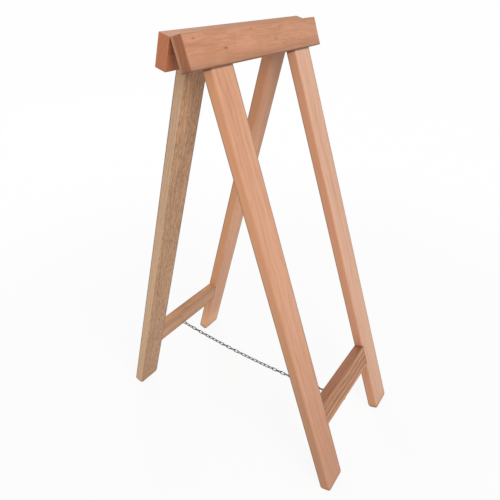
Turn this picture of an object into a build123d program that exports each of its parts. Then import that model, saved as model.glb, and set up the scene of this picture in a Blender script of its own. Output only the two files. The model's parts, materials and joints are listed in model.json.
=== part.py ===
"""Folding wooden trestle: two ladder-like frames of planed boards, hinged at the ridge, joined by a chain.

Millimetres, +Z up. X runs along the ridge, the front frame stands towards -Y and the back frame
towards +Y. The origin is on the floor, midway between the four feet.

Each frame is drawn standing upright beside the hinge pin, as it is when the trestle is folded, with
Y as the distance out from the pin and Z as the height over it. It is then swung open by the splay
angle. The front frame is the same frame turned half a turn about Z.
"""

from build123d import *
import math
import os

# ---------------------------------------------------------------- driving dimensions

STAND_HEIGHT = 755.0  # floor to the upper arris of the beams, when open
SPLAY_ANGLE = 16.8  # lean of each frame from the vertical, degrees
RIDGE_GAP = 0.6  # between the beams where they meet at the ridge, when open

BEAM_LENGTH = 335.0
BEAM_HEIGHT = 47.5
BEAM_THICKNESS = 19.0
EDGE_CHAMFER = 0.8  # along the arrises of all boards

LEG_WIDTH = 44.5
LEG_THICKNESS = 19.0
LEG_INSET = 40.0  # beam end to the leg's outer side
LEG_PROUD = 0.5  # how far the leg's inner face stands in from the beam's
FOOT_ROUNDING = 3.0

STRETCHER_HEIGHT = 45.0
STRETCHER_THICKNESS = 18.0
STRETCHER_CLEAR = 111.0  # along the leg, from its foot to the stretcher

TENON_THICKNESS = 6.5
TENON_SHOULDER = 6.0  # from a board's edge to the edge of its tenon
TENON_LENGTH = 22.0
TENON_ROOM = 1.0  # glue room past the end of a tenon
GLUE_LINE = 0.1  # all round a tenon

HINGE_LENGTH = 50.0
HINGE_SPACING = 210.0  # between the middles of the two hinges
LEAF_WIDTH = 16.0  # from the pin's axis
LEAF_THICKNESS = 1.2
LEAF_CORNER_RADIUS = 1.5
PIN_RADIUS = 1.5
PIN_CLEARANCE = 0.05
KNUCKLE_COUNT = 3
KNUCKLE_GAP = 0.15  # end to end, between neighbouring knuckles
KNUCKLE_CLEARANCE = 0.2  # knuckle to wood, and to the other leaf

SCREW_LENGTH = 14.0
SCREW_RADIUS = 1.4
SCREW_HEAD_RADIUS = 2.8
SCREW_SPACING = 30.0
SCREW_EDGE = 6.5  # screw to the free edge of the leaf
SCREW_POINT = 3.0
SCREW_POINT_TAPER = 24.0  # degrees

EYE_WIRE_RADIUS = 1.1
EYE_RING_RADIUS = 3.6  # to the middle of the wire
EYE_SHANK_LENGTH = 16.0
EYE_SHANK_RADIUS = 1.3
EYE_DROP = 0.5  # between the stretcher and the top of the ring

CHAIN_WIRE = 2.0
CHAIN_LINK_WIDTH = 7.2
CHAIN_NOMINAL_PITCH = 9.8
CHAIN_SAG = 13.0
CHAIN_OFFSET = -10.5  # X of the chain and of both screw eyes
CHAIN_PLAY = 0.45  # between the wires of two neighbouring links
CHAIN_BACK_INNER_LINKS = 8  # links that swing aside from the back eye as the trestle folds
CHAIN_FRONT_INNER_LINKS = 7  # the same from the front eye
CHAIN_TURN_LINKS = 3  # links where the slack chain doubles back

WIRE_SIDES = 8  # bent wire is drawn eight-sided, which keeps so many links light
BEND_STEPS = 4  # straight steps round each end of a link
RING_STEPS = 12  # straight steps round the ring of a screw eye
SCREW_SIDES = 12

# ---------------------------------------------------------------- derived dimensions

splay = math.radians(SPLAY_ANGLE)
lean_sin, lean_cos = math.sin(splay), math.cos(splay)


def rounding_drop(radius):
    """How far a rounded arris of a leaning board falls short of the sharp one, in height."""
    return radius * (lean_cos + lean_sin - 1)


def chamfer_drop(width):
    """The same for a chamfered arris."""
    return width * min(lean_cos, lean_sin)


knuckle_radius = PIN_RADIUS + PIN_CLEARANCE + LEAF_THICKNESS
inner_face = knuckle_radius + KNUCKLE_CLEARANCE  # Y of the beams' inner faces
beam_top = (inner_face * lean_cos - RIDGE_GAP / 2) / lean_sin  # the beams meet this far over the pin
beam_bottom = beam_top - BEAM_HEIGHT
beam_middle = inner_face + BEAM_THICKNESS / 2

pin_height = (
    STAND_HEIGHT
    - (inner_face + BEAM_THICKNESS) * lean_sin
    - beam_top * lean_cos
    + chamfer_drop(EDGE_CHAMFER)
)
leg_inner = inner_face - LEG_PROUD
leg_middle = leg_inner + LEG_THICKNESS / 2
foot_level = -(pin_height + leg_inner * lean_sin + rounding_drop(FOOT_ROUNDING)) / lean_cos
leg_offset = BEAM_LENGTH / 2 - LEG_INSET - LEG_WIDTH / 2  # X of each leg's middle
leg_gap = 2 * leg_offset - LEG_WIDTH  # between the two legs of a frame

stretcher_bottom = foot_level + STRETCHER_CLEAR
stretcher_centre = stretcher_bottom + STRETCHER_HEIGHT / 2
stretcher_middle = inner_face + STRETCHER_THICKNESS / 2

eye_outer_radius = EYE_RING_RADIUS + EYE_WIRE_RADIUS
eye_inner_radius = EYE_RING_RADIUS - EYE_WIRE_RADIUS
eye_centre = stretcher_bottom - EYE_DROP - eye_outer_radius
eye_offset = {"back": CHAIN_OFFSET, "front": -CHAIN_OFFSET}  # X in each frame's own directions

# ---------------------------------------------------------------- placing the two frames

back_frame = Pos(0, 0, pin_height) * Rot(SPLAY_ANGLE, 0, 0)
front_frame = Pos(0, 0, pin_height) * Rot(0, 0, 180) * Rot(SPLAY_ANGLE, 0, 0)
frames = {"back": back_frame, "front": front_frame}

# ---------------------------------------------------------------- joinery and screws


def tongue(width, room):
    """A tenon that stands up from Z = 0, or with some room its mortise."""
    return Box(
        width - 2 * TENON_SHOULDER + 2 * room,
        TENON_THICKNESS + 2 * room,
        TENON_LENGTH + (TENON_ROOM if room else 0),
        align=(Align.CENTER, Align.CENTER, Align.MIN),
    )


def leg_tongue(side, room=0.0):
    """The tenon of a leg in the beam, or its mortise."""
    return Pos(side * leg_offset, leg_middle, beam_bottom) * tongue(LEG_WIDTH, room)


def stretcher_tongue(side, room=0.0):
    """The tenon of the stretcher in the leg on one side, or its mortise."""
    place = Pos(side * leg_gap / 2, stretcher_middle, stretcher_centre)
    return place * Rot(0, side * 90, 0) * tongue(STRETCHER_HEIGHT, room)


hinge_centres = [-HINGE_SPACING / 2, HINGE_SPACING / 2]
leaf_surface = inner_face - LEAF_THICKNESS
screw_centres = [
    (middle + step * SCREW_SPACING / 2, leaf_surface, SCREW_EDGE - LEAF_WIDTH)
    for middle in hinge_centres
    for step in (-1, 1)
]


def screw(centre):
    """A countersunk wood screw, driven outwards through a hinge leaf into the beam."""
    round_section = RegularPolygon(SCREW_RADIUS, SCREW_SIDES)
    shank_length = SCREW_LENGTH - SCREW_POINT
    head = extrude(
        RegularPolygon(SCREW_HEAD_RADIUS, SCREW_SIDES), SCREW_HEAD_RADIUS - SCREW_RADIUS, taper=45
    )
    shank = extrude(round_section, shank_length)
    point = extrude(round_section, SCREW_POINT, taper=SCREW_POINT_TAPER)
    body = head + shank + Pos(0, 0, shank_length) * point
    return Pos(*centre) * Rot(-90, 0, 0) * body


def cut_each(body, tools):
    """The body with each tool cut from it."""
    for tool in tools:
        body = body - tool
    return body


# ---------------------------------------------------------------- boards


def beam():
    """The ridge beam of one frame, mortised for its legs and drilled for the hinge screws."""
    board = Pos(0, beam_middle, beam_top - BEAM_HEIGHT / 2) * Box(
        BEAM_LENGTH, BEAM_THICKNESS, BEAM_HEIGHT
    )
    board = chamfer(board.edges(), EDGE_CHAMFER)
    board = cut_each(board, [leg_tongue(side, GLUE_LINE) for side in (-1, 1)])
    return cut_each(board, [screw(at) for at in screw_centres])


def foot_profile(width, height):
    """A board's outline with its two lower corners rounded, centred on the origin."""
    outline = Rectangle(width, height)
    return fillet(outline.vertices().group_by(Axis.Y)[0], FOOT_ROUNDING)


def leg(side):
    """One leg: tenoned into the beam, mortised for the stretcher and rounded at the foot."""
    height = beam_bottom - foot_level
    plan = Rectangle(LEG_WIDTH, LEG_THICKNESS)
    plan = chamfer(plan.vertices(), EDGE_CHAMFER)
    board = extrude(plan, height / 2, both=True)
    board = board & extrude(Plane.XZ * foot_profile(LEG_WIDTH, height), LEG_THICKNESS, both=True)
    board = board & extrude(Plane.YZ * foot_profile(LEG_THICKNESS, height), LEG_WIDTH, both=True)
    board = Pos(side * leg_offset, leg_middle, (beam_bottom + foot_level) / 2) * board
    return board + leg_tongue(side) - stretcher_tongue(side, GLUE_LINE)


def stretcher(eye_x):
    """The low rail, tenoned into both legs and bored underneath for the screw eye."""
    board = Pos(0, stretcher_middle, stretcher_centre) * Box(
        leg_gap, STRETCHER_THICKNESS, STRETCHER_HEIGHT
    )
    board = chamfer(board.edges().filter_by(Axis.X), EDGE_CHAMFER)
    board = board + stretcher_tongue(-1) + stretcher_tongue(1)
    bore = extrude(wire_section(EYE_SHANK_RADIUS), EYE_SHANK_LENGTH)
    return board - Pos(eye_x, stretcher_middle, stretcher_bottom) * bore


# ---------------------------------------------------------------- butt hinges

knuckle_pitch = HINGE_LENGTH / KNUCKLE_COUNT
knuckle_centres = [(i - (KNUCKLE_COUNT - 1) / 2) * knuckle_pitch for i in range(KNUCKLE_COUNT)]


def leaf(first_knuckle):
    """One leaf about the pin's middle. It has every other knuckle, and a notch for the rest."""
    plate = extrude(
        Plane.XZ * Pos(0, -LEAF_WIDTH / 2) * Rectangle(HINGE_LENGTH, LEAF_WIDTH), -LEAF_THICKNESS
    )
    plate = Pos(0, leaf_surface, 0) * plate
    free_corners = plate.edges().filter_by(Axis.Y).group_by(Axis.Z)[0]
    body = fillet(free_corners, LEAF_CORNER_RADIUS)
    notch_depth = knuckle_radius + KNUCKLE_CLEARANCE
    for index, x in enumerate(knuckle_centres):
        if index % 2 == first_knuckle:
            barrel = Rot(0, 90, 0) * Cylinder(knuckle_radius, knuckle_pitch - KNUCKLE_GAP)
            body = body + Pos(x, 0, 0) * barrel
    for index, x in enumerate(knuckle_centres):
        if index % 2 != first_knuckle:
            notch = Box(knuckle_pitch + KNUCKLE_GAP, 4 * knuckle_radius, 2 * notch_depth)
            body = body - Pos(x, 0, 0) * notch
    bore = Rot(0, 90, 0) * Cylinder(PIN_RADIUS + PIN_CLEARANCE, 2 * HINGE_LENGTH)
    return body - bore


def hinge_leaf(middle, first_knuckle):
    """A leaf at its place on the beam, with countersunk screw holes."""
    return cut_each(Pos(middle, 0, 0) * leaf(first_knuckle), [screw(at) for at in screw_centres])


def hinge_pin(middle):
    """The steel pin, flush with the end knuckles."""
    return Pos(middle, 0, 0) * Rot(0, 90, 0) * Cylinder(PIN_RADIUS, HINGE_LENGTH - KNUCKLE_GAP)


# ---------------------------------------------------------------- bent wire: screw eyes and chain links


def wire_section(radius):
    """The section of a wire in the XY plane, with a flat on every side."""
    return RegularPolygon(radius, WIRE_SIDES, rotation=180 / WIRE_SIDES)


def half_loop(length, radius, wire_radius, steps):
    """The +X half of a wire loop in the XY plane: two straights of half the length, and the bend."""
    turns = [math.pi * i / steps for i in range(steps + 1)]
    corners = [(length / 2 + radius * math.sin(a), radius * math.cos(a)) for a in turns]
    if length:
        corners = [(0, radius), *corners, (0, -radius)]
    path = Polyline(*corners)
    section = Plane(origin=path @ 0, z_dir=path % 0) * wire_section(wire_radius)
    return sweep(section, path=path, transition=Transition.RIGHT)


def wire_loop(length, radius, wire_radius, steps):
    """A closed wire loop in the XY plane, round when its straights have no length."""
    half = half_loop(length, radius, wire_radius, steps)
    return half + mirror(half, about=Plane.YZ)


def screw_eye(eye_x):
    """A screw eye under the stretcher. Its ring lies square to X."""
    ring = Rot(0, 90, 0) * wire_loop(0, EYE_RING_RADIUS, EYE_WIRE_RADIUS, RING_STEPS // 2)
    ring = Pos(eye_x, stretcher_middle, eye_centre) * ring
    shank = extrude(wire_section(EYE_SHANK_RADIUS), -EYE_SHANK_LENGTH - EYE_DROP - EYE_WIRE_RADIUS)
    return ring + Pos(eye_x, stretcher_middle, stretcher_bottom + EYE_SHANK_LENGTH) * shank


# ---------------------------------------------------------------- chain


def eye_place(frame):
    """Where the middle of a frame's screw eye lies, as (y, z)."""
    place = (frame * Pos(0, stretcher_middle, eye_centre)).position
    return place.Y, place.Z


back_eye_y, eye_height = eye_place(back_frame)
chain_span = 2 * (back_eye_y - eye_inner_radius)
arc_radius = (chain_span**2 / 4 + CHAIN_SAG**2) / (2 * CHAIN_SAG)
half_arc = math.asin(chain_span / 2 / arc_radius)

# The flat links at both ends thread the rings, so the number of links is odd.
link_count = 2 * round((chain_span / CHAIN_NOMINAL_PITCH - 1) / 2) + 1
link_angle = 2 * half_arc / link_count
link_pitch = 2 * arc_radius * math.sin(link_angle / 2)


def contact(index):
    """The point where link index - 1 bears on link index, as (y, z), counted from the back eye."""
    angle = half_arc - index * link_angle
    return (
        arc_radius * math.sin(angle),
        eye_height + arc_radius * (math.cos(half_arc) - math.cos(angle)),
    )


def link_shape():
    """One chain link lying flat, with its length along Y."""
    bend_radius = (CHAIN_LINK_WIDTH - CHAIN_WIRE) / 2
    length = link_pitch + CHAIN_WIRE + CHAIN_PLAY - 2 * bend_radius
    return Rot(0, 0, 90) * wire_loop(length, bend_radius, CHAIN_WIRE / 2, BEND_STEPS)


def chain_links(first, last):
    """Links first to last - 1 of the chain, each turned a quarter against its neighbour."""
    shape = link_shape()
    placed = []
    for index in range(first, last):
        y, z = [(a + b) / 2 for a, b in zip(contact(index), contact(index + 1))]
        slope = math.degrees(half_arc - (index + 0.5) * link_angle)
        place = Pos(CHAIN_OFFSET, y, z) * Rot(slope, 0, 0) * Rot(0, 90 * (index % 2), 0)
        placed.append(place * shape)
    return Compound(children=placed)


# ---------------------------------------------------------------- the assembly

nodes = {}
for name, frame in frames.items():
    nodes[f"{name}_beam"] = frame * beam()
    nodes[f"{name}_stretcher"] = frame * stretcher(eye_offset[name])
    nodes[f"{name}_hinge_screws"] = Compound(children=[frame * screw(at) for at in screw_centres])
    nodes[f"{name}_screw_eye"] = frame * screw_eye(eye_offset[name])
    for side, hand in ((-1, "left"), (1, "right")):
        facing = side if name == "back" else -side
        nodes[f"{name}_{hand}_leg"] = frame * leg(facing)
        nodes[f"{hand}_hinge_{name}_leaf"] = frame * hinge_leaf(
            facing * HINGE_SPACING / 2, 0 if name == "back" else 1
        )

for side, hand in ((-1, "left"), (1, "right")):
    nodes[f"{hand}_hinge_pin"] = back_frame * hinge_pin(side * HINGE_SPACING / 2)

turn_start = (link_count - CHAIN_TURN_LINKS) // 2
chain_starts = {
    "chain_back_end": 0,
    "chain_back_inner_run": 1,
    "chain_back_outer_run": 1 + CHAIN_BACK_INNER_LINKS,
    "chain_turn": turn_start,
    "chain_front_outer_run": turn_start + CHAIN_TURN_LINKS,
    "chain_front_inner_run": link_count - 1 - CHAIN_FRONT_INNER_LINKS,
    "chain_front_end": link_count - 1,
}
chain_stops = [*list(chain_starts.values())[1:], link_count]
for (name, first), last in zip(chain_starts.items(), chain_stops):
    nodes[name] = chain_links(first, last)

os.makedirs("parts", exist_ok=True)
for name, shape in nodes.items():
    shape.label = name
    export_step(shape, f"parts/{name}.step")

print(f"pin height {pin_height:.2f}, leg length {beam_bottom - foot_level:.1f}")
print(f"chain: {link_count} links of {link_pitch:.3f} pitch over a span of {chain_span:.1f}")
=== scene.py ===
# %% [markdown]
# # A folding wooden trestle
#
# A table trestle is two small ladders of planed boards that lean on each other. Two butt hinges
# join them at the ridge and a light steel chain stops the feet from sliding apart. Its solids
# come from a CAD model, which is loaded first and never moved. This lesson dresses them: softened
# boards, wood that is solid all the way through, and round steel wire in place of faceted wire.

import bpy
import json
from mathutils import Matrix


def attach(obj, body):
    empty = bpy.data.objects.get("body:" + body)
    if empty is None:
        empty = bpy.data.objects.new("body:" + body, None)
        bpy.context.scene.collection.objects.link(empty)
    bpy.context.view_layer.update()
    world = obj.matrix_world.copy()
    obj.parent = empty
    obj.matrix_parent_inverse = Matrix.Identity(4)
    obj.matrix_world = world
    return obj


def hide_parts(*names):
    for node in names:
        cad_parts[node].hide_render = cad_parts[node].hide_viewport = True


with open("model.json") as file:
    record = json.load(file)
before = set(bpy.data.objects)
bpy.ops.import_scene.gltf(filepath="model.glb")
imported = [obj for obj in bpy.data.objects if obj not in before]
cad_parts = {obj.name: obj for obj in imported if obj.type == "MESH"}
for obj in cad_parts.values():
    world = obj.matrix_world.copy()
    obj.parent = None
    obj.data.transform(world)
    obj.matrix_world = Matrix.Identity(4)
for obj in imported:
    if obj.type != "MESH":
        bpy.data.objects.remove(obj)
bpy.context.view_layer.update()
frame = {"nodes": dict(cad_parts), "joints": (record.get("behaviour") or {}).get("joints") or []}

# %% [markdown]
# ## Two frames that lean
#
# Each half of the trestle was drawn upright beside the hinge pin and then swung open, so every
# board is easiest to describe in that upright place: X along the ridge, Y outwards from the pin
# and Z upwards from it. The fold joint in the record says where the pin is, and how far the
# halves open, so two matrices lead from the upright place to the open trestle. Written by hand
# they would have to be kept in step with the solids. Read from the record, they follow by
# themselves.

# %% The two leaning places
import math
from mathutils import Matrix, Vector

fold = next(joint for joint in frame["joints"] if joint["name"] == "fold")
PIN = Vector(fold["pos_m"])
LEAN = math.radians(max(fold["range_deg"], key=abs) / 2)
TURN = {"back": 0.0, "front": math.pi}  # the front half is the back half turned about Z


def place(half):
    """The matrix from a half's upright place to where it stands when the trestle is open."""
    swung = Matrix.Rotation(TURN[half], 4, "Z") @ Matrix.Rotation(LEAN, 4, "X")
    return Matrix.Translation(PIN) @ swung


def upright_box(node, half):
    """Lowest and highest corner of a CAD node, measured in its half's upright place."""
    back_again = place(half).inverted()
    points = [back_again @ vertex.co for vertex in frame["nodes"][node].data.vertices]
    low = Vector(min(point[axis] for point in points) for axis in range(3))
    high = Vector(max(point[axis] for point in points) for axis in range(3))
    return low, high


print("pin height", round(PIN.z, 4), "lean", round(math.degrees(LEAN), 2), "degrees")

# %% [markdown]
# ## Camera
#
# The trestle is seen from its left end, a little above the ridge. A short lens from close by
# gives the strong converging lines, and the camera is level apart from a degree of roll. To
# bring the trestle to the middle of the frame the camera could be turned, but that would change
# how its lines converge. A lens shift moves the frame alone.

# %% Camera
import bpy

CAMERA_PLACE = Vector((-0.6191, -0.4588, 0.8228))
CAMERA_AZIMUTH = math.radians(-58.84)
CAMERA_HEIGHT_ANGLE = math.radians(25.74)
CAMERA_ROLL = math.radians(-0.90)
LENS = 34.31  # millimetres, on a sensor as wide as that of a full-frame camera
SENSOR_WIDTH = 36.0
LENS_SHIFT = (-0.0888, -0.0930)
NEAREST_SEEN = 0.01

away = Vector(
    (
        math.sin(CAMERA_AZIMUTH) * math.cos(CAMERA_HEIGHT_ANGLE),
        -math.cos(CAMERA_AZIMUTH) * math.cos(CAMERA_HEIGHT_ANGLE),
        math.sin(CAMERA_HEIGHT_ANGLE),
    )
)
right = (-away).cross(Vector((0, 0, 1))).normalized()
up = away.cross(right)
facing = Matrix((right, up, away)).transposed().to_4x4() @ Matrix.Rotation(-CAMERA_ROLL, 4, "Z")

camera = bpy.data.objects.new("camera", bpy.data.cameras.new("camera"))
bpy.context.scene.collection.objects.link(camera)
camera.matrix_world = Matrix.Translation(CAMERA_PLACE) @ facing
camera.data.sensor_width = SENSOR_WIDTH
camera.data.lens = LENS
camera.data.shift_x, camera.data.shift_y = LENS_SHIFT
camera.data.clip_start = NEAREST_SEEN
bpy.context.scene.camera = camera
print("camera", [round(value, 3) for value in CAMERA_PLACE])

# %% [markdown]
# ## A socket that can be used in sums
#
# A procedural finish is arithmetic on the coordinates of a point. Wiring each Math node by hand
# hides that arithmetic, so one small class holds a socket and adds a Math node whenever it is
# used in a sum. Python asks the left item of a sum first, so `1 - mask` also needs the reflected
# form of each operator. Every other node comes from the one `node` method, which takes the kind
# of node, its settings and what goes into its sockets.

# %% Sockets as values


def rgb(red, green, blue):
    """A colour for a socket."""
    return (red, green, blue, 1.0)


class Value:
    """One output socket of a node tree."""

    def __init__(self, tree, socket):
        self.tree = tree
        self.socket = socket

    def node(self, kind, settings=None, inputs=None, output=0):
        """A new node: its settings first, then the values or links of its sockets."""
        new = self.tree.nodes.new(kind)
        for name, setting in (settings or {}).items():
            setattr(new, name, setting)
        for name, value in (inputs or {}).items():
            if isinstance(value, Value):
                self.tree.links.new(value.socket, new.inputs[name])
            else:
                new.inputs[name].default_value = value
        return Value(self.tree, new.outputs[output])

    def math(self, operation, other=0.0, flipped=False):
        """A Math node on this value and another."""
        first, second = (other, self) if flipped else (self, other)
        return self.node("ShaderNodeMath", {"operation": operation}, {0: first, 1: second})

    def __add__(self, other):
        return self.math("ADD", other)

    def __sub__(self, other):
        return self.math("SUBTRACT", other)

    def __mul__(self, other):
        return self.math("MULTIPLY", other)

    def __truediv__(self, other):
        return self.math("DIVIDE", other)

    def __pow__(self, other):
        return self.math("POWER", other)

    def __rsub__(self, other):
        return self.math("SUBTRACT", other, flipped=True)

    def __rtruediv__(self, other):
        return self.math("DIVIDE", other, flipped=True)

    def __rpow__(self, other):
        return self.math("POWER", other, flipped=True)

    def __abs__(self):
        return self.math("ABSOLUTE")

    __radd__ = __add__
    __rmul__ = __mul__

    def lowest(self, other):
        return self.math("MINIMUM", other)

    def highest(self, other):
        return self.math("MAXIMUM", other)

    def fraction(self):
        return self.math("FRACT")

    def ease(self, start, end):
        """0 before start, 1 after end and a smooth step between them."""
        ends = {"From Min": start, "From Max": end}
        return self.node(
            "ShaderNodeMapRange", {"interpolation_type": "SMOOTHSTEP"}, {"Value": self, **ends}
        )

    def tint(self, first, second):
        """The first colour where this value is 0 and the second where it is 1."""
        pair = [item if isinstance(item, Value) else rgb(*item) for item in (first, second)]
        sockets = {0: self, 6: pair[0], 7: pair[1]}
        return self.node("ShaderNodeMix", {"data_type": "RGBA"}, sockets, 2)


# %% [markdown]
# ## Floor, backdrop and light
#
# A plain studio: a wide pale floor, an even white surround and three soft lamps. The lamps are
# large, so that shadows have no hard edge, and low enough in power that a board shows about the
# colour written for it. Rays that come straight from the camera meet a white surround, and the
# floor answers them with mostly the same white, so that it is clean and still keeps a shadow.

# %% Studio
scene = bpy.context.scene
scene.view_settings.view_transform = "Standard"

WORLD_LIGHT = 0.47  # what the surround gives to the object
LAMPS = {
    # name: (place, looks at, width, power)
    "key": ((-1.1, -2.4, 2.1), (0, 0, 0.45), 1.6, 46.0),
    "side": ((-2.6, 0.3, 1.2), (0, 0, 0.40), 1.6, 8.0),
    "back": ((1.6, 2.2, 1.8), (0, 0, 0.45), 1.6, 22.0),
}


def shown_directly(tree):
    """1 for rays from the camera, from a mirror or through glass, and 0 for the rest."""
    path = tree.nodes.new("ShaderNodeLightPath")
    camera_ray = Value(tree, path.outputs["Is Camera Ray"])
    mirror_ray = Value(tree, path.outputs["Is Glossy Ray"])
    glass_ray = Value(tree, path.outputs["Is Transmission Ray"])
    return camera_ray.highest(mirror_ray).highest(glass_ray)


world = bpy.data.worlds.new("surround")
world.use_nodes = True
scene.world = world
surround = world.node_tree.nodes["Background"]
strength = shown_directly(world.node_tree) * (1 - WORLD_LIGHT) + WORLD_LIGHT
surround.inputs["Color"].default_value = rgb(1, 1, 1)
world.node_tree.links.new(strength.socket, surround.inputs["Strength"])

for name, (spot, target, width, power) in LAMPS.items():
    lamp = bpy.data.objects.new(name, bpy.data.lights.new(name, "AREA"))
    scene.collection.objects.link(lamp)
    lamp.data.shape = "DISK"
    lamp.data.size = width
    lamp.data.energy = power
    lamp.location = spot
    lamp.rotation_euler = (Vector(target) - Vector(spot)).to_track_quat("-Z", "Y").to_euler()
print(len(LAMPS), "lamps, surround at", WORLD_LIGHT)

# %% Floor
import bmesh

FLOOR_RADIUS = 30.0
FLOOR_GREY = 0.86
FLOOR_ROUGHNESS = 0.9
FLOOR_WHITE = (0.90, 0.985)  # share of plain white the camera sees, near the trestle and far off
NEAR_AND_FAR = (0.45, 1.5)  # metres from the middle of the trestle
floor_mesh = bmesh.new()
bmesh.ops.create_circle(floor_mesh, cap_ends=True, segments=96, radius=FLOOR_RADIUS)
floor = bpy.data.objects.new("floor", bpy.data.meshes.new("floor"))
floor_mesh.to_mesh(floor.data)
floor_mesh.free()
scene.collection.objects.link(floor)

paper = bpy.data.materials.new("paper")
paper.use_nodes = True
floor.data.materials.append(paper)
tree = paper.node_tree
matt = tree.nodes["Principled BSDF"]
matt.inputs["Base Color"].default_value = rgb(FLOOR_GREY, FLOOR_GREY, FLOOR_GREY)
matt.inputs["Roughness"].default_value = FLOOR_ROUGHNESS
white = tree.nodes.new("ShaderNodeEmission")
blend = tree.nodes.new("ShaderNodeMixShader")
on_floor = Value(tree, tree.nodes.new("ShaderNodeTexCoord").outputs["Object"])
distance = on_floor.node("ShaderNodeVectorMath", {"operation": "LENGTH"}, {0: on_floor}, 1)
share = distance.ease(*NEAR_AND_FAR) * (FLOOR_WHITE[1] - FLOOR_WHITE[0]) + FLOOR_WHITE[0]
tree.links.new((shown_directly(tree) * share).socket, blend.inputs[0])
tree.links.new(matt.outputs[0], blend.inputs[1])
tree.links.new(white.outputs[0], blend.inputs[2])
tree.links.new(blend.outputs[0], tree.nodes["Material Output"].inputs["Surface"])
print("floor of radius", FLOOR_RADIUS)

# %% [markdown]
# ## Wood that is solid all the way through
#
# A board is cut from a trunk, so its pattern isn't painted on: it is a slice through growth
# rings. A flat pattern wrapped round the board would need unwrapping and would break at each
# edge. Here the material works in the board's own upright place, where the grain runs along one
# axis. Long faces then show streaks, ends show arcs, and the two meet at each edge. The first
# helpers give a point's place in its board, and noise that is drawn out along the grain.

# %% Places in a board
MM = 1000.0  # millimetres in a metre


def new_material(name):
    """A material with its Principled shader and the object's coordinates."""
    material = bpy.data.materials.new(name)
    material.use_nodes = True
    tree = material.node_tree
    shader = tree.nodes["Principled BSDF"]
    coordinates = Value(tree, tree.nodes.new("ShaderNodeTexCoord").outputs["Object"])
    return material, shader, coordinates


def feed(shader, name, value):
    """Links a value to a socket of the shader."""
    value.tree.links.new(value.socket, shader.inputs[name])


def upright(coordinates, half, low, high):
    """Across, through and along a board in millimetres from its middle, and half its sizes."""
    turned = coordinates.node(
        "ShaderNodeMapping",
        {"vector_type": "TEXTURE"},
        {"Vector": coordinates, "Location": PIN, "Rotation": (LEAN, 0.0, TURN[half])},
    )
    parts = [turned.node("ShaderNodeSeparateXYZ", None, {0: turned}, axis) for axis in range(3)]
    middle = (low + high) / 2
    sizes = (high - low) * (MM / 2)
    local = [(part - middle[axis]) * MM for axis, part in enumerate(parts)]
    if sizes[0] > sizes[2]:  # a rail: the grain runs along X
        return (local[2], local[1], local[0]), (sizes[2], sizes[1], sizes[0])
    return tuple(local), tuple(sizes)


def cloud(vector, detail, seed, roughness=0.5):
    """Noise between 0 and 1."""
    return vector.node(
        "ShaderNodeTexNoise",
        {"noise_dimensions": "4D"},
        {"Vector": vector, "W": seed, "Scale": 1.0, "Detail": detail, "Roughness": roughness},
    )


# %% One board's noises
ACROSS, THROUGH, ALONG = range(3)
RAGGED_HEIGHT = 0.6


class Plank:
    """Places in one board in millimetres, and the noises that its finish is mixed from."""

    def __init__(self, coordinates, half, low, high, seed):
        self.ways, self.sizes = upright(coordinates, half, low, high)
        self.seed = seed
        self.ripple = self.noise((0.05, 0.05, 0.012), 3, 2.0)
        self.broad = self.noise((0.06, 0.06, 0.0035), 7, 2.0)
        self.blotch = self.noise((0.30, 0.30, 0.045), 9, 3.0, 0.6)
        self.streak = self.noise((0.55, 0.55, 0.012), 11, 3.0, 0.6)
        # -1 at the foot or the left end and 1 at the top or the right end, give or take
        ragged = (self.broad - 0.5) * RAGGED_HEIGHT
        self.height = self.ways[ALONG] / self.sizes[ALONG] + ragged

    def noise(self, scale, step, detail, roughness=0.5):
        """Noise with a scale per millimetre for each way. The step sets it apart from others."""
        parts = {name: way * size for name, way, size in zip("XYZ", self.ways, scale)}
        vector = self.ways[ACROSS].node("ShaderNodeCombineXYZ", None, parts)
        return cloud(vector, detail, self.seed + step, roughness)

    def depth(self, axis, side):
        """Distance below one face, or below the nearer one of the two where side is 0."""
        way = self.ways[axis] * side if side else abs(self.ways[axis])
        return self.sizes[axis] - way


# %% [markdown]
# ## Growth rings and pores
#
# A tree adds a pale layer in spring and a thin dark line in late summer. So the distance from
# the heart of the tree, divided by the width of a year, is all that a ring needs: its fraction
# rises through the year, and the end of the rise is the dark line. The heart wanders a little
# along the board, which bends the streaks. Pores are short dark dashes along the grain, made
# from noise of which only the highest peaks are kept.

# %% Rings and pores
HEART_WANDER = 26  # millimetres, like the next
HEART_RIPPLE = 5
YEAR_RIPPLE = 1.2  # years
LATE_WOOD = (0.25, 0.92)  # the part of a year over which the wood darkens
NEXT_SPRING = (0.93, 1.0)
PORE_EASE = 0.22
STREAK_SHARE = 0.8
MIDDLE_SHADE = 0.32  # between the pale colour at 0 and the deep one at 1


def late_wood(plank, heart, spacing):
    """1 in the dark line of each year and 0 in its pale wood."""
    sway = plank.noise((0.004, 0.004, 0.006), 0, 1.0)
    beside = plank.ways[ACROSS] - heart[0] + (sway - 0.5) * HEART_WANDER
    below = plank.ways[THROUGH] - heart[1] + (plank.ripple - 0.5) * HEART_RIPPLE
    radius = (beside * beside + below * below) ** 0.5
    year = (radius / spacing + (plank.ripple - 0.5) * YEAR_RIPPLE).fraction()
    return year.ease(*LATE_WOOD) * (1 - year.ease(*NEXT_SPRING))


def pore_dashes(plank, scale, start):
    """1 in a pore and 0 beside it. The scale is that across the grain and that along it."""
    fine, coarse = scale
    dashes = plank.noise((fine, fine, coarse), 17, 3.0, 0.65)
    return dashes.ease(start, start + PORE_EASE)


def heartwood(plank, late, pale, deep, rings, drift, mottle):
    """The colour inside the board: rings, long drifts of colour, streaks and blotches."""
    shade = late * (0.5 * rings) + (plank.broad - 0.5) * (2.0 * drift)
    shade = shade + (plank.streak - 0.5) * STREAK_SHARE + MIDDLE_SHADE
    shade = shade + (plank.blotch - 0.5) * (2.0 * mottle)
    return shade.ease(0.0, 1.0).tint(pale, deep)


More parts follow.
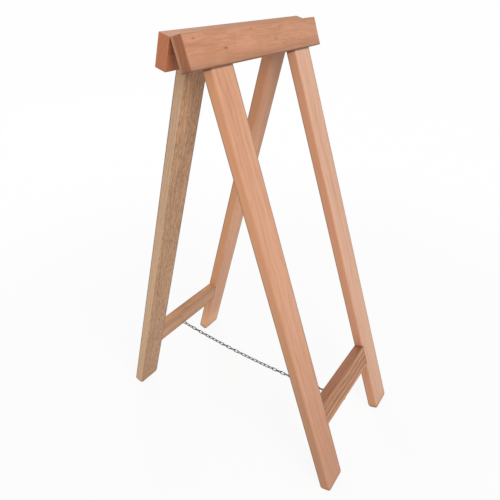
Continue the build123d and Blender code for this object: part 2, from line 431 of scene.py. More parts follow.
# %% [markdown]
# ## Face colours, planer waves, darker ends and painted shade
#
# Single faces differ from the wood inside: the narrow sides of the legs are more orange, and the
# inner sides of the beams are painted dark as shade, the shade of the ridge between them. A board
# can also get darker towards its foot, and towards its top as painted shade under the beam. The
# planer leaves faint waves across the grain. Each of these is one tint of the colour so far, by a
# mask that is made from the distance below a face or the height on the board.

# %% Faces, waves and darker ends
FACE_DEPTH = (0.2, 0.9)  # millimetres over which a face's colour ends
FACE_GRADING = (0.7, -0.9)  # heights at which a face has its own colour and that of the foot
WAVE_TURN = 1.55  # radians for each millimetre
WAVE_RIPPLE = 3
WAVE_PATCHES = (0.42, 0.62)
DARKENING_HEIGHTS = ((-0.1, 0.95), (0.1, -0.95))  # heights over which a board darkens: up, as painted shade under the beam, and down


def tint_face(plank, colour, late, axis, side, face_colour, foot_colour, share):
    """Colours one face, or both faces of an axis where side is 0."""
    skin = 1 - plank.depth(axis, side).ease(*FACE_DEPTH)
    mask = skin * (1 - late * 0.25 - plank.streak * 0.1) * share
    graded = plank.height.ease(*FACE_GRADING).tint(face_colour, foot_colour)
    return mask.tint(colour, graded)


def planer_waves(plank, colour, dark, share):
    """The planer's faint waves across the grain, in patches."""
    phase = plank.ways[ALONG] * WAVE_TURN + (plank.ripple - 0.5) * WAVE_RIPPLE
    wave = phase.math("SINE") * 0.5 + 0.5
    return (wave * plank.blotch.ease(*WAVE_PATCHES) * share).tint(colour, dark)


def darken_towards_ends(plank, colour, dark, shares):
    """Darkens the board towards its top, or right end, as painted shade under the beam, and
    towards its foot.
    """
    for share, (start, end) in zip(shares, DARKENING_HEIGHTS):
        if share:
            colour = (plank.height.ease(start, end) * share).tint(colour, dark)
    return colour


# %% [markdown]
# ## Edges, ends and joints
#
# End grain soaks up wax and turns dark. Edges get darker where hands rub wax and dirt into them.
# A grey line along the arrises at each leg's outline is painted shade, and so are the dark lines
# where boards meet and the dark underside of each beam. The soles of the feet are dark with dirt.
# A texture painted by hand would do for one trestle. Masks that know how far a point is from an
# edge follow any change of a board's size.

# %% Edges and ends
WAXED_EDGE = (0.4, 2.6)  # millimetres from an edge, like the next two
# The next reach and the grey further down draw a line of painted shade along a leg's outline.
ARRIS_SHADE_REACH = (1.2, 2.6)
END_DEPTH = (0.5, 1.2)
STRIP_EASE = (0.6, 1.4)  # of the strip's width
STRIP_SHARE = 0.85
# grey of that line of painted shade
ARRIS_SHADE_GREY = (0.23, 0.15, 0.105)


def waxed_edges(plank, colour, tone):
    """Darkens all twelve edges, more in the dark streaks."""
    first, second, third = (plank.depth(axis, 0) for axis in (ACROSS, THROUGH, ALONG))
    # A point is near an edge where it is near two faces at once, so the middle depth counts.
    nearest = first.lowest(second).highest(first.highest(second).lowest(third))
    worn = (1 - nearest.ease(*WAXED_EDGE)) * (0.18 + plank.streak * 0.3)
    return worn.tint(colour, tone)


def end_grain(plank, colour, late, light, dark, strip):
    """Colours both ends, with one light strip of sapwood if there is any."""
    dots = plank.noise((1.2, 1.2, 0.1), 23, 2.0)
    end_colour = (late * 0.22 + (dots - 0.5) * 1.1 + 0.35).ease(0.0, 1.0).tint(light, dark)
    if strip:
        axis, side, strip_colour, width = strip
        depth = plank.depth(axis, side) + (dots - 0.5) * 2
        band = (1 - depth.ease(*(width * share for share in STRIP_EASE))) * STRIP_SHARE
        end_colour = band.tint(end_colour, strip_colour)
    return (1 - plank.depth(ALONG, 0).ease(*END_DEPTH)).tint(colour, end_colour)


def seam(plank, colour, axis, side, width, share, tone):
    """A line with a ragged edge beside one end or side of the board."""
    line = 1 - plank.depth(axis, side).ease(width * 0.3, width + plank.streak * width)
    return (line * share).tint(colour, tone)


def shaded_arris(plank, colour, side_across, side_through, share):
    """Painted shade: a grey line along one long arris, at the outline of a leg."""
    nearest = plank.depth(ACROSS, side_across).highest(plank.depth(THROUGH, side_through))
    start, end = ARRIS_SHADE_REACH
    return ((1 - nearest.ease(start, end + plank.streak * 1.4)) * share).tint(colour, ARRIS_SHADE_GREY)


# %% [markdown]
# ## Knots
#
# The beam shows a few pin knots, where a thin twig grew: a dark core, a reddish ring round it
# and a small dent. A knot could be cut into the mesh, but at one or two millimetres colour and
# bump are enough. The distance from its middle is stretched along the grain and ruffled by the
# streaks, so that it isn't a perfect oval.

# %% Knots
KNOT_LENGTH = 2.2  # times as long as it is wide
KNOT_RUFFLE = 1.1
RING_REACH = (0.5, 3.0)
RING_SHARE = 0.45
RING_COLOUR = (0.45, 0.17, 0.08)
CORE_REACH = (0.30, 1.05)
CORE_COLOUR = (0.20, 0.065, 0.035)
CORE_DENT = 0.6


def knot(plank, colour, place_across, place_along, reach, strength):
    """The colour with one knot added, and the knot's dent."""
    x = (plank.ways[ACROSS] - place_across) / reach
    z = (plank.ways[ALONG] - place_along) / (reach * KNOT_LENGTH)
    distance = (x * x + z * z) ** 0.5 + (plank.streak - 0.5) * KNOT_RUFFLE
    ring = (1 - distance.ease(*RING_REACH)) * (RING_SHARE * strength)
    core = (1 - distance.ease(*CORE_REACH)) * strength
    return core.tint(ring.tint(colour, RING_COLOUR), CORE_COLOUR), core * CORE_DENT


# %% [markdown]
# ## The whole finish
#
# One function now lays the marks over each other, in the order in which a board gets them: what
# grew, what the plane left, what light and wax did, and last the dirt and the wear. Its many
# settings have defaults, so a board names only what is particular to it.

# %% Wood finish
PORE_DARK = 0.6  # share of the deep colour that is left
WAX_DARK = 0.70
WAX_ROUGHNESS = 0.44
WAX_IOR = 1.45
WOOD_BUMP = {"Strength": 0.35, "Distance": 0.00018}


def wood(name, half, low, high, pale, deep, seed, rings=0.5, spacing=5.0, heart=(-30, 45),
         drift=0.5, mottle=0.3, pores=0.35, pore_scale=(2.4, 0.11), pore_start=0.57,
         waves=0.0, faces=(), darker_ends=(0.0, 0.0), ends=None, strip=None, seams=(), arrises=(),
         knots=()):
    """A wood finish for one board. Sizes are in millimetres.

    heart, spacing, rings: where the heart of the tree is, the width of a year, and its contrast.
    drift, mottle, pores, waves: how strong each of these marks is.
    pore_scale, pore_start: the pores' scale across and along, and how few there are.
    faces: (axis, side, colour, colour at the foot, share), where side 0 means both sides.
    darker_ends: how much darker the board gets towards its top, or right end, as painted shade
    under the beam, and towards its foot.
    ends: the light and the dark colour of the end grain.
    strip: (axis, side, colour, width) of a lighter band on the end grain.
    seams: (axis, side, width, share, colour) of a line along an end or a side.
    arrises: (side across, side through, share) of a grey line of painted shade along a long arris.
    knots: (across, along, reach, strength).
    """
    material, shader, coordinates = new_material(name)
    plank = Plank(coordinates, half, low, high, seed)
    late = late_wood(plank, heart, spacing)
    pore = pore_dashes(plank, pore_scale, pore_start)
    dark = [channel * PORE_DARK for channel in deep]
    waxed = [channel * WAX_DARK for channel in deep]

    colour = heartwood(plank, late, pale, deep, rings, drift, mottle)
    colour = (pore * pores).tint(colour, dark)
    for face in faces:
        colour = tint_face(plank, colour, late, *face)
    if waves:
        colour = planer_waves(plank, colour, dark, waves)
    colour = darken_towards_ends(plank, colour, dark, darker_ends)
    colour = waxed_edges(plank, colour, waxed)
    if ends:
        colour = end_grain(plank, colour, late, *ends, strip)
    for line in seams:
        colour = seam(plank, colour, *line)
    for line in arrises:
        colour = shaded_arris(plank, colour, *line)
    dents = 0.0
    for spot in knots:
        colour, dent = knot(plank, colour, *spot)
        dents = dent + dents

    feed(shader, "Base Color", colour)
    feed(shader, "Roughness", plank.streak * 0.14 + pore * 0.10 + WAX_ROUGHNESS)
    shader.inputs["IOR"].default_value = WAX_IOR
    relief = late * 0.25 + plank.streak * 0.5 - pore * 0.8 + plank.ripple * 0.6 - dents
    feed(shader, "Normal", relief.node("ShaderNodeBump", None, {**WOOD_BUMP, "Height": relief}))
    print(material.name, "of", len(material.node_tree.nodes), "nodes")
    return material


# %% [markdown]
# ## Boards
#
# The solids are planed boards with flat chamfers. On the real trestle the sharp arrises have been
# rubbed over with sandpaper and the corners of the feet are well rounded. Each board starts as
# a cube stretched to the size of its solid, and a Bevel modifier rounds every edge by the weight
# that it is given: a small share for an arris, half for the one arris of each leg that is worn
# round, all of it for the foot, and nothing where the board meets another one. A rounding that is
# modelled by hand would have to be done again for each board. The tenons are inside the joints,
# where nobody sees them, and stay as solids.

# %% Board maker
FOOT_ROUND = 0.0085
SOLID_FOOT_ROUND = 0.003  # of the CAD legs
ARRIS = 0.0011 / FOOT_ROUND
RUBBED_ARRIS = 0.0042 / FOOT_ROUND  # one long arris of each leg is worn much rounder
RUBBED_SIDE = {"front": 1, "back": -1}  # both across and through the leg
ROUNDING_SEGMENTS = 4


def stretched_cube(low, high):
    """A bmesh cube between two corners."""
    block = bmesh.new()
    bmesh.ops.create_cube(block, size=1.0)
    bmesh.ops.scale(block, vec=high - low, verts=block.verts)
    bmesh.ops.translate(block, vec=(high + low) / 2, verts=block.verts)
    return block


def add_piece(name, mesh, body, nodes):
    """An object at the origin from a bmesh, riding on a body and standing for CAD nodes."""
    data = bpy.data.meshes.new(name)
    mesh.to_mesh(data)
    mesh.free()
    data.shade_smooth()
    piece = bpy.data.objects.new(name, data)
    bpy.context.scene.collection.objects.link(piece)
    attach(piece, body)
    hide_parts(*nodes)
    return piece


def board(node, half, low, high, weight_of):
    """A softened board in place of a CAD node."""
    block = stretched_cube(low, high)
    weights = block.edges.layers.float.new("bevel_weight_edge")
    for edge in block.edges:
        start, end = (vertex.co for vertex in edge.verts)
        middle = (start + end) / 2
        axis = max(range(3), key=lambda index: abs(end[index] - start[index]))
        edge[weights] = weight_of(middle, axis)
        edge.smooth = edge[weights] > 0  # an edge that isn't rounded keeps its faces flat
    bmesh.ops.transform(block, matrix=place(half), verts=block.verts)
    piece = add_piece(node + "_board", block, half + "_frame", [node])
    rounding = piece.modifiers.new("rounding", "BEVEL")
    rounding.limit_method = "WEIGHT"
    rounding.width = FOOT_ROUND
    rounding.segments = ROUNDING_SEGMENTS
    rounding.harden_normals = True
    print(piece.name, [round(MM * size, 1) for size in high - low], "mm")
    return piece


# %% [markdown]
# ## Eight different boards
#
# The boards came from different trees. The beams are a warm salmon, three of the legs are
# pinkish with orange narrow sides, one leg is plain khaki brown, and the low rails are the
# darkest and the most streaky. So every board gets its own pair of colours, its own seed and
# its own place in the trunk.

# %% Colours of the boards
INNER_FACE_SHADE = (0.325, 0.08, 0.016)  # painted shade on the inner faces of the beams, in the ridge between them
# dark brown: dirt on the soles of the feet, and painted shade in the joints and under the beams
DIRT_AND_SHADE = (0.13, 0.05, 0.025)
WORN = (0.60, 0.25, 0.10)  # the wax has worn off the last stretch above the floor
# at the top of a leg, painted shadow in the joint under the beam; at the foot, worn wood and dirt
LEG_SHADE_WEAR_DIRT = ((2, 1, 2.4, 0.9, DIRT_AND_SHADE), (2, -1, 15.0, 0.45, WORN), (2, -1, 8.0, 0.88, DIRT_AND_SHADE))
# painted shade in the joints where each rail meets its legs
RAIL_JOINT_SHADE = ((2, 1, 1.6, 0.85, DIRT_AND_SHADE), (2, -1, 1.6, 0.85, DIRT_AND_SHADE))
# lines of painted shade along the arrises at each leg's outline
ARRIS_SHADE_LINES = {"front": ((1, -1, 0.75), (-1, 1, 0.65), (-1, -1, 0.2)),
                "back": ((-1, 1, 0.75), (1, -1, 0.75), (1, 1, 0.2))}
SPECIES = {
    # node: pale, deep, and what is particular to the board
    "front_beam": dict(pale=(0.64, 0.31, 0.178), deep=(0.46, 0.19, 0.09), rings=0.40,
                       spacing=9.0, heart=(8, -60), seed=1.3, drift=0.45, mottle=0.35, waves=0.1,
                       faces=((1, -1, INNER_FACE_SHADE, INNER_FACE_SHADE, 0.85),),
                       ends=((0.40, 0.138, 0.056), (0.26, 0.082, 0.032)),
                       strip=(1, -1, (0.47, 0.245, 0.137), 4.6),
                       # painted shade on the underside and along the lower edge of the beam
                       seams=((0, -1, 2.0, 0.7, DIRT_AND_SHADE), (0, -1, 12.0, 0.20, DIRT_AND_SHADE)),
                       knots=((16, 148, 1.2, 0.75), (-2, 90, 1.5, 1.0), (18, 24, 1.3, 0.55),
                              (15, -50, 1.1, 0.55), (-1, -34, 2.2, 0.35))),
    "back_beam": dict(pale=(0.64, 0.325, 0.19), deep=(0.48, 0.20, 0.105), rings=0.4,
                      spacing=7.0, heart=(-14, -50), seed=5.1, mottle=0.35, waves=0.1,
                      faces=((1, -1, INNER_FACE_SHADE, INNER_FACE_SHADE, 0.85),
                             (0, 1, (0.46, 0.18, 0.064), (0.46, 0.18, 0.064), 0.85)),
                      ends=((0.53, 0.182, 0.072), (0.41, 0.132, 0.052)),
                      # painted shade on the underside and along the lower edge of the beam
                      seams=((0, -1, 1.6, 0.5, DIRT_AND_SHADE),)),
    "front_left_leg": dict(pale=(0.71, 0.375, 0.232), deep=(0.56, 0.25, 0.135), rings=0.45,
                           spacing=6.5, heart=(-40, -38), seed=9.7,
                           faces=((0, 0, (0.70, 0.315, 0.15), (0.49, 0.24, 0.11), 0.9),),
                           seams=LEG_SHADE_WEAR_DIRT, darker_ends=(0.0, 0.36)),
    "front_right_leg": dict(pale=(0.75, 0.44, 0.30), deep=(0.60, 0.31, 0.19), rings=0.45,
                            spacing=6.0, heart=(36, -44), seed=13.2,
                            faces=((0, 0, (0.65, 0.285, 0.14), (0.64, 0.265, 0.128), 0.85),),
                            seams=LEG_SHADE_WEAR_DIRT, darker_ends=(0.0, 0.10)),
    "back_left_leg": dict(pale=(0.67, 0.40, 0.225), deep=(0.33, 0.17, 0.085), rings=0.35,
                          spacing=4.5, heart=(-36, 30), seed=17.9, pores=0.75, drift=0.3,
                          pore_scale=(1.0, 0.125), pore_start=0.43, mottle=0.3,
                          faces=((0, 0, (0.62, 0.40, 0.25), (0.72, 0.46, 0.275), 0.8),),
                          seams=LEG_SHADE_WEAR_DIRT, darker_ends=(0.0, 0.1)),
    "back_right_leg": dict(pale=(0.69, 0.375, 0.222), deep=(0.54, 0.25, 0.13), rings=0.5,
                           spacing=5.5, heart=(30, -30), seed=21.4,
                           # the narrow sides are darker towards the top: painted shade under the
                           # beam
                           faces=((0, 0, (0.58, 0.245, 0.10), (0.76, 0.355, 0.165), 0.85),),
                           # the paler band on the lowest 60 mm is painted light, lifting the shade
                           # there
                           seams=((2, -1, 60.0, 0.6, (0.90, 0.51, 0.285)), *LEG_SHADE_WEAR_DIRT),
                           # darker towards the top: painted shade under the beam
                           darker_ends=(0.3, 0.0)),
    "front_stretcher": dict(pale=(0.60, 0.305, 0.165), deep=(0.30, 0.115, 0.048), rings=0.9,
                            spacing=11.0, heart=(-70, 4), seed=25.6, drift=0.8,
                            faces=((0, 1, (0.34, 0.11, 0.028), (0.34, 0.11, 0.028), 0.9),
                                   (1, -1, (0.42, 0.17, 0.08), (0.42, 0.17, 0.08), 0.6)),
                            seams=RAIL_JOINT_SHADE),
    "back_stretcher": dict(pale=(0.63, 0.35, 0.19), deep=(0.40, 0.18, 0.078), rings=0.85,
                           spacing=9.0, heart=(-60, -12), seed=29.8, drift=0.7, seams=RAIL_JOINT_SHADE),
}

# %% Make the boards
from functools import partial

INTO_LEG = 0.002  # a rail ends under the rounded arris of its leg
# A rounder foot is a little longer to reach the floor.
FOOT_LONGER = (FOOT_ROUND - SOLID_FOOT_ROUND) * (math.cos(LEAN) + math.sin(LEAN) - 1)


def beam_weight(middle, axis):
    """Every edge of a beam is an arris."""
    return ARRIS


def rail_weight(middle, axis):
    """The ends of a rail are in the legs, so only its long edges are rounded."""
    return ARRIS if axis == 0 else 0.0


def leg_weight(middle, axis, centre, side):
    """The foot is rounded fully, one long edge well, the others a little and the top not."""
    offset = (middle - centre) * side
    if axis == 2:
        return RUBBED_ARRIS if offset.x > 0 and offset.y > 0 else ARRIS
    return 1.0 if middle.z < centre.z else 0.0


for half in ("back", "front"):
    beam_low, beam_high = upright_box(half + "_beam", half)
    legs = []
    for hand in ("left", "right"):
        node = f"{half}_{hand}_leg"
        low, high = upright_box(node, half)
        high.z = beam_low.z
        low.z -= FOOT_LONGER / math.cos(LEAN)
        legs.append((low, high))
        weight = partial(leg_weight, centre=(low + high) / 2, side=RUBBED_SIDE[half])
        leg_board = board(node, half, low, high, weight)
        finish = wood(node + "_wood", half, low, high, arrises=ARRIS_SHADE_LINES[half], **SPECIES[node])
        leg_board.data.materials.append(finish)

    rail_node = half + "_stretcher"
    low, high = upright_box(rail_node, half)
    low.x = min(leg_high.x for leg_low, leg_high in legs) - INTO_LEG
    high.x = max(leg_low.x for leg_low, leg_high in legs) + INTO_LEG
    rail = board(rail_node, half, low, high, rail_weight)
    rail.data.materials.append(wood(rail_node + "_wood", half, low, high, **SPECIES[rail_node]))

    beam_node = half + "_beam"
    beam_board = board(beam_node, half, beam_low, beam_high, beam_weight)
    finish = wood(beam_node + "_wood", half, beam_low, beam_high, **SPECIES[beam_node])
    beam_board.data.materials.append(finish)

# %% [markdown]
# ## Steel
#
# Three finishes: zinc-plated hinges, whose plating shows soft cloudy crystals and brushed
# scratches, screws that are a little yellower, and the duller, darker steel of the chain and the
# screw eyes. Metal takes its look from what it reflects, so the clouds and scratches change not
# only its colour but its roughness too.

# %% Steel finish
CLOUD_SCALE = (0.35, 0.35, 0.35)  # per millimetre
SCRATCH_BUMP = {"Strength": 0.25, "Distance": 0.00005}


def scaled_cloud(vector, scale, detail, seed):
    """Noise with its own scale along each axis of the scene."""
    scaled = vector.node("ShaderNodeVectorMath", {"operation": "MULTIPLY"}, {0: vector, 1: scale})
    return cloud(scaled, detail, seed)


def steel(name, bright, dull, rough, grain, seed):
    """A plated steel finish with clouds and fine scratches. The grain is per millimetre."""
    material, shader, coordinates = new_material(name)
    millimetres = coordinates.node(
        "ShaderNodeVectorMath", {"operation": "SCALE"}, {0: coordinates, "Scale": MM}
    )
    patches = scaled_cloud(millimetres, CLOUD_SCALE, 3.0, seed)
    fine = scaled_cloud(millimetres, grain, 2.0, seed + 5)
    mask = (patches * 0.7 + fine * 0.3).ease(0.32, 0.68)
    feed(shader, "Base Color", mask.tint(bright, dull))
    feed(shader, "Metallic", 1 - mask * 0.25)
    feed(shader, "Roughness", mask * 0.22 + fine * 0.10 + rough)
    feed(shader, "Normal", fine.node("ShaderNodeBump", None, {**SCRATCH_BUMP, "Height": fine}))
    return material


STEELS = {
    # name: bright, dull, roughness, grain along X, Y and Z, seed
    "zinc_plate": ((0.66, 0.66, 0.64), (0.46, 0.46, 0.45), 0.30, (0.15, 2.2, 2.2), 2.0),
    "screw_zinc": ((0.68, 0.66, 0.60), (0.45, 0.43, 0.38), 0.32, (2.0, 2.0, 2.0), 4.0),
    "chain_steel": ((0.26, 0.27, 0.29), (0.07, 0.07, 0.07), 0.24, (1.5, 1.5, 1.5), 6.0),
}
zinc, screw_zinc, chain_steel = (steel(name, *looks) for name, looks in STEELS.items())

for node, solid in frame["nodes"].items():
    if "hinge" in node and "screws" not in node:
        solid.data.materials.clear()
        solid.data.materials.append(zinc)
        print(node, "gets", zinc.name)

# %% [markdown]
# ## Hinge screws
#
# Eight countersunk wood screws hold the hinge leaves. Only their heads show, from inside
# the ridge, so that is where the work goes: a flat top with a crosshead recess above a cone. Four
# cuts across the top either way leave a cross of faces, which is pushed in. A Boolean with a
# cross would do the same, but leaves a mesh that is harder to keep closed.

# %% One screw
SCREW_HEAD = 0.0028
SCREW_SHANK = 0.0014
SCREW_LENGTH = 0.014
SCREW_POINT = 0.003
SCREW_TIP = 0.0001
SCREW_TAPER = 0.92
SCREW_SEGMENTS = 24
RECESS_HALF_WIDTH = 0.00035
RECESS_REACH = 0.0016
RECESS_DEPTH = 0.0008


def only(kind, items):
    """The items of one kind out of what a bmesh operator returns."""
    return [item for item in items if isinstance(item, kind)]


def copy_into(part, mesh):
    """Adds one bmesh to another."""
    data = bpy.data.meshes.new("part")
    part.to_mesh(data)
    part.free()
    mesh.from_mesh(data)
    bpy.data.meshes.remove(data)


def make_screw(mesh, matrix):
    """A crosshead wood screw along +Z, with its head's face at Z = 0, added to a bmesh."""
    part = bmesh.new()
    bmesh.ops.create_circle(part, cap_ends=True, segments=SCREW_SEGMENTS, radius=SCREW_HEAD)
    for axis in (Vector((1, 0, 0)), Vector((0, 1, 0))):
        for offset in (-RECESS_REACH, -RECESS_HALF_WIDTH, RECESS_HALF_WIDTH, RECESS_REACH):
            everything = part.verts[:] + part.edges[:] + part.faces[:]
            bmesh.ops.bisect_plane(part, geom=everything, plane_co=axis * offset, plane_no=axis)
    inside = []
    for face in part.faces:
        x, y = sorted((abs(face.calc_center_median().x), abs(face.calc_center_median().y)))
        if x < RECESS_HALF_WIDTH and y < RECESS_REACH:
            inside.append(face)
    recess = bmesh.ops.extrude_face_region(part, geom=inside)
    bmesh.ops.delete(part, geom=inside, context="FACES_ONLY")
    lowered = only(bmesh.types.BMVert, recess["geom"])
    bmesh.ops.translate(part, vec=(0, 0, RECESS_DEPTH), verts=lowered)
    outline = [edge for edge in part.edges if edge.is_boundary]
    profile = [
        (SCREW_SHANK, SCREW_HEAD - SCREW_SHANK),
        (SCREW_SHANK * SCREW_TAPER, SCREW_LENGTH - SCREW_POINT),
        (SCREW_TIP, SCREW_LENGTH),
    ]
    for radius, depth in profile:
        ring = bmesh.ops.extrude_edge_only(part, edges=outline)
        outline = [edge for edge in only(bmesh.types.BMEdge, ring["geom"]) if edge.is_boundary]
        for vertex in {vertex for edge in outline for vertex in edge.verts}:
            flat = Vector((vertex.co.x, vertex.co.y, 0)).normalized() * radius
            vertex.co = Vector((flat.x, flat.y, depth))
    bmesh.ops.holes_fill(part, edges=outline, sides=0)
    bmesh.ops.recalc_face_normals(part, faces=part.faces)
    bmesh.ops.transform(part, matrix=matrix, verts=part.verts)
    copy_into(part, mesh)


# %% Set the screws
HINGE_SPACING = 0.210
SCREW_SPACING = 0.030
SCREW_DROP = 0.0095  # below the pin
SCREW_TURN = 7  # spreads the angles at which the screws came to rest
for half in ("back", "front"):
    leaf_face = upright_box(half + "_hinge_screws", half)[0].y
    mesh = bmesh.new()
    for middle in (-HINGE_SPACING / 2, HINGE_SPACING / 2):
        for step in (-0.5, 0.5):
            spot = Vector((middle + step * SCREW_SPACING, leaf_face, -SCREW_DROP))
            turn = Matrix.Rotation(SCREW_TURN * (middle + step), 4, "Z")
            seat = Matrix.Translation(spot) @ Matrix.Rotation(-math.pi / 2, 4, "X") @ turn
            make_screw(mesh, place(half) @ seat)
    node = half + "_hinge_screws"
    screws = add_piece(half + "_screws", mesh, half + "_frame", [node])
    screws.data.materials.append(screw_zinc)
    print(screws.name, len(screws.data.polygons), "faces")

# %% [markdown]
# ## Screw eyes
#
# A screw eye is one piece of wire: a shank that turns into the rail and a ring bent at its end.
# The ring is a small circle spun once round, and the shank a circle extruded up into the
# rail. A single tube swept along a path would need a careful bend where they meet. Two closed
# shapes that overlap look the same from a hand's breadth away.

# %% Screw eyes
EYE_WIRE = 0.0011  # half the wire's thickness, like the other radii here
EYE_RING = 0.0036
EYE_SHANK = 0.0013
EYE_NECK = 0.9  # share of the wire's radius where the shank leaves the ring
EYE_SHANK_LENGTH = 0.016
EYE_DROP = 0.0005
NECK_DEPTH = 1.2  # how far into the ring's wire the shank starts, in radii of that wire
WIRE_SEGMENTS = 14
RING_STEPS = 28
eye_middle = {}


def wire_circle(mesh, radius, centre, turn=Matrix()):
    """The vertices of a new circle of wire section, square to Z unless it is turned."""
    made = bmesh.ops.create_circle(
        mesh, segments=WIRE_SEGMENTS, radius=radius, matrix=Matrix.Translation(centre) @ turn
    )
    return made["verts"]


SQUARE_TO_Y = Matrix.Rotation(math.pi / 2, 4, "X")
for half in ("back", "front"):
    rail_low, rail_high = upright_box(half + "_stretcher", half)
    ring_low, ring_high = upright_box(half + "_screw_eye", half)
    eye_x = (ring_low.x + ring_high.x) / 2
    eye_z = rail_low.z - EYE_DROP - EYE_WIRE - EYE_RING
    centre = Vector((eye_x, (rail_low.y + rail_high.y) / 2, eye_z))
    eye_middle[half] = place(half) @ centre
    mesh = bmesh.new()
    section = wire_circle(mesh, EYE_WIRE, centre + Vector((0, 0, EYE_RING)), SQUARE_TO_Y)
    bmesh.ops.spin(
        mesh, geom=section + mesh.edges[:], cent=centre, axis=(1, 0, 0), angle=2 * math.pi,
        steps=RING_STEPS, use_merge=True,
    )
    bmesh.ops.remove_doubles(mesh, verts=mesh.verts, dist=1e-6)
    shank_foot = Vector((eye_x, centre.y, rail_low.z - EYE_DROP - EYE_WIRE * NECK_DEPTH))
    shank = bmesh.new()
    wire_circle(shank, EYE_WIRE * EYE_NECK, shank_foot)
    end = bmesh.ops.extrude_edge_only(shank, edges=shank.edges[:])
    top = only(bmesh.types.BMVert, end["geom"])
    bmesh.ops.translate(shank, vec=(0, 0, EYE_SHANK_LENGTH), verts=top)
    bmesh.ops.scale(
        shank, vec=(EYE_SHANK / EYE_WIRE, EYE_SHANK / EYE_WIRE, 1),
        space=Matrix.Translation(-centre), verts=top,
    )
    bmesh.ops.holes_fill(shank, edges=shank.edges[:], sides=0)
    copy_into(shank, mesh)
    bmesh.ops.recalc_face_normals(mesh, faces=mesh.faces)
    bmesh.ops.transform(mesh, matrix=place(half), verts=mesh.verts)
    eye = add_piece(half + "_eye", mesh, half + "_frame", [half + "_screw_eye"])
    eye.data.materials.append(chain_steel)
    print(eye.name, [round(value, 4) for value in eye_middle[half]])

# %% [markdown]
# ## Chain
#
# The chain is welded from bent wire: 41 links, each turned a quarter against the next. It hangs
# in a shallow arc between the screw eyes. A link is made once round: a circle of wire is spun
# half a turn for one end, drawn along the straight, spun again and drawn back. One straight
# has the small bulge of its weld. The links are laid on the same arc as the solids, but they
# are a little lighter: of round wire 1.7 mm thick, where the solids have eight-sided 2 mm wire.

# %% The arc of the chain
LINK_COUNT = 41
CHAIN_SAG = 0.013

back_eye = eye_middle["back"]
span = 2 * (back_eye.y - (EYE_RING - EYE_WIRE))
arc_radius = (span**2 / 4 + CHAIN_SAG**2) / (2 * CHAIN_SAG)
half_arc = math.asin(span / 2 / arc_radius)
link_angle = 2 * half_arc / LINK_COUNT
pitch = 2 * arc_radius * math.sin(link_angle / 2)


def contact(index):
    """Where link index - 1 bears on link index."""
    angle = half_arc - index * link_angle
    rise = arc_radius * (math.cos(half_arc) - math.cos(angle))
    return Vector((back_eye.x, arc_radius * math.sin(angle), back_eye.z + rise))


print("span", round(span * MM, 1), "mm, pitch", round(pitch * MM, 3), "mm")

# %% One link
CHAIN_WIRE = 0.0017
CHAIN_PLAY = 0.00045
LINK_WIDTH = 0.0063
END_STEPS = 8
WELD_FATNESS = 1.13
# the steps of a straight: share of its length, and how much fatter the wire gets over it
PLAIN = ((1.0, 1.0),)
WELDED = ((0.38, 1.0), (0.07, WELD_FATNESS), (0.10, 1.0), (0.07, 1 / WELD_FATNESS), (0.38, 1.0))


def new_ring(geometry):
    """The vertices and edges of the ring in what a spin or an extrusion made."""
    verts = only(bmesh.types.BMVert, geometry)
    edges = only(bmesh.types.BMEdge, geometry)
    return verts, [edge for edge in edges if set(edge.verts) <= set(verts)]


def draw_along(mesh, ring, length, steps):
    """Extrudes a ring along Y by each (share of the length, fatness) in turn."""
    verts, edges = ring
    for share, fatness in steps:
        made = bmesh.ops.extrude_edge_only(mesh, edges=edges)
        verts, edges = new_ring(made["geom"])
        bmesh.ops.translate(mesh, vec=(0, share * length, 0), verts=verts)
        middle = sum((vertex.co for vertex in verts), Vector()) / len(verts)
        bmesh.ops.scale(mesh, vec=(fatness,) * 3, space=Matrix.Translation(-middle), verts=verts)
    return verts, edges


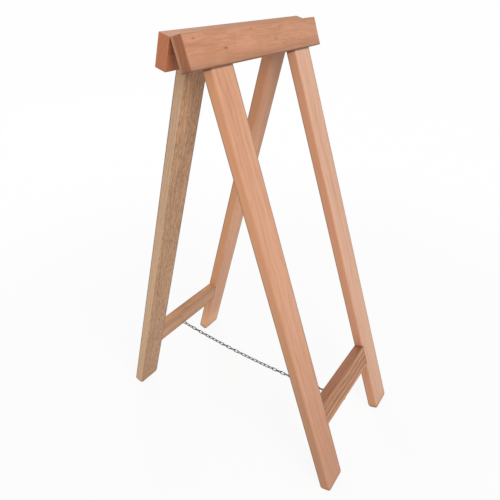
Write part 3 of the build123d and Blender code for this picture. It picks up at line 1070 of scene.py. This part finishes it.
def make_link():
    """One link lying flat, with its length along Y."""
    bend = (LINK_WIDTH - CHAIN_WIRE) / 2
    straight = pitch + CHAIN_WIRE + CHAIN_PLAY - 2 * bend
    mesh = bmesh.new()
    start = Vector((bend, straight / 2, 0))
    ring = wire_circle(mesh, CHAIN_WIRE / 2, start, SQUARE_TO_Y), mesh.edges[:]
    for sign, steps in ((1, PLAIN), (-1, WELDED)):
        end = bmesh.ops.spin(
            mesh, geom=ring[0] + ring[1], cent=(0, sign * straight / 2, 0), axis=(0, 0, 1),
            angle=math.pi, steps=END_STEPS,
        )
        ring = draw_along(mesh, new_ring(end["geom_last"]), -sign * straight, steps)
    bmesh.ops.remove_doubles(mesh, verts=mesh.verts, dist=2e-6)
    bmesh.ops.recalc_face_normals(mesh, faces=mesh.faces)
    return mesh


link_mesh = bpy.data.meshes.new("link")
one_link = make_link()
one_link.to_mesh(link_mesh)
open_edges = sum(edge.is_boundary for edge in one_link.edges)
one_link.free()
print("link of", len(link_mesh.polygons), "faces,", open_edges, "open edges")

# %% [markdown]
# ## Links in groups
#
# The chain folds at a few places only, so its links are laid in seven groups, and each group
# rides on the body that has its node's name. Slack links also roll a little on each other.
# Links that rolled by chance would swing against their neighbours across a fold line. So the
# roll rises and falls like half a wave along a group and is slight at its ends.

# %% Lay the links
CHAIN_GROUPS = {
    # node: first link, and one past the last link
    "chain_back_end": (0, 1),
    "chain_back_inner_run": (1, 9),
    "chain_back_outer_run": (9, 19),
    "chain_turn": (19, 22),
    "chain_front_outer_run": (22, 33),
    "chain_front_inner_run": (33, 40),
    "chain_front_end": (40, 41),
}
CHAIN_ROLL = math.radians(27)
ROLLING_LINKS = 4  # a shorter group doesn't roll


def link_place(index, first, last):
    """The matrix that lays one link of a group on the arc."""
    middle = (contact(index) + contact(index + 1)) / 2
    slope = half_arc - (index + 0.5) * link_angle
    roll = CHAIN_ROLL * math.sin(math.pi * (index + 0.5 - first) / (last - first))
    if last - first < ROLLING_LINKS:
        roll = 0.0
    twist = Matrix.Rotation(math.pi / 2 * (index % 2) + roll, 4, "Y")
    return Matrix.Translation(middle) @ Matrix.Rotation(slope, 4, "X") @ twist


for node, (first, last) in CHAIN_GROUPS.items():
    mesh = bmesh.new()
    for index in range(first, last):
        start = len(mesh.verts)
        mesh.from_mesh(link_mesh)
        mesh.verts.ensure_lookup_table()
        laid = link_place(index, first, last)
        bmesh.ops.transform(mesh, matrix=laid, verts=mesh.verts[start:])
    links = add_piece(node + "_links", mesh, node, [node])
    links.data.materials.append(chain_steel)
    print(links.name, last - first, "links")
bpy.data.meshes.remove(link_mesh)

# %% [markdown]
# ## Finish
#
# The dressed trestle has to keep the size of its solids.

# %% Finish
import json
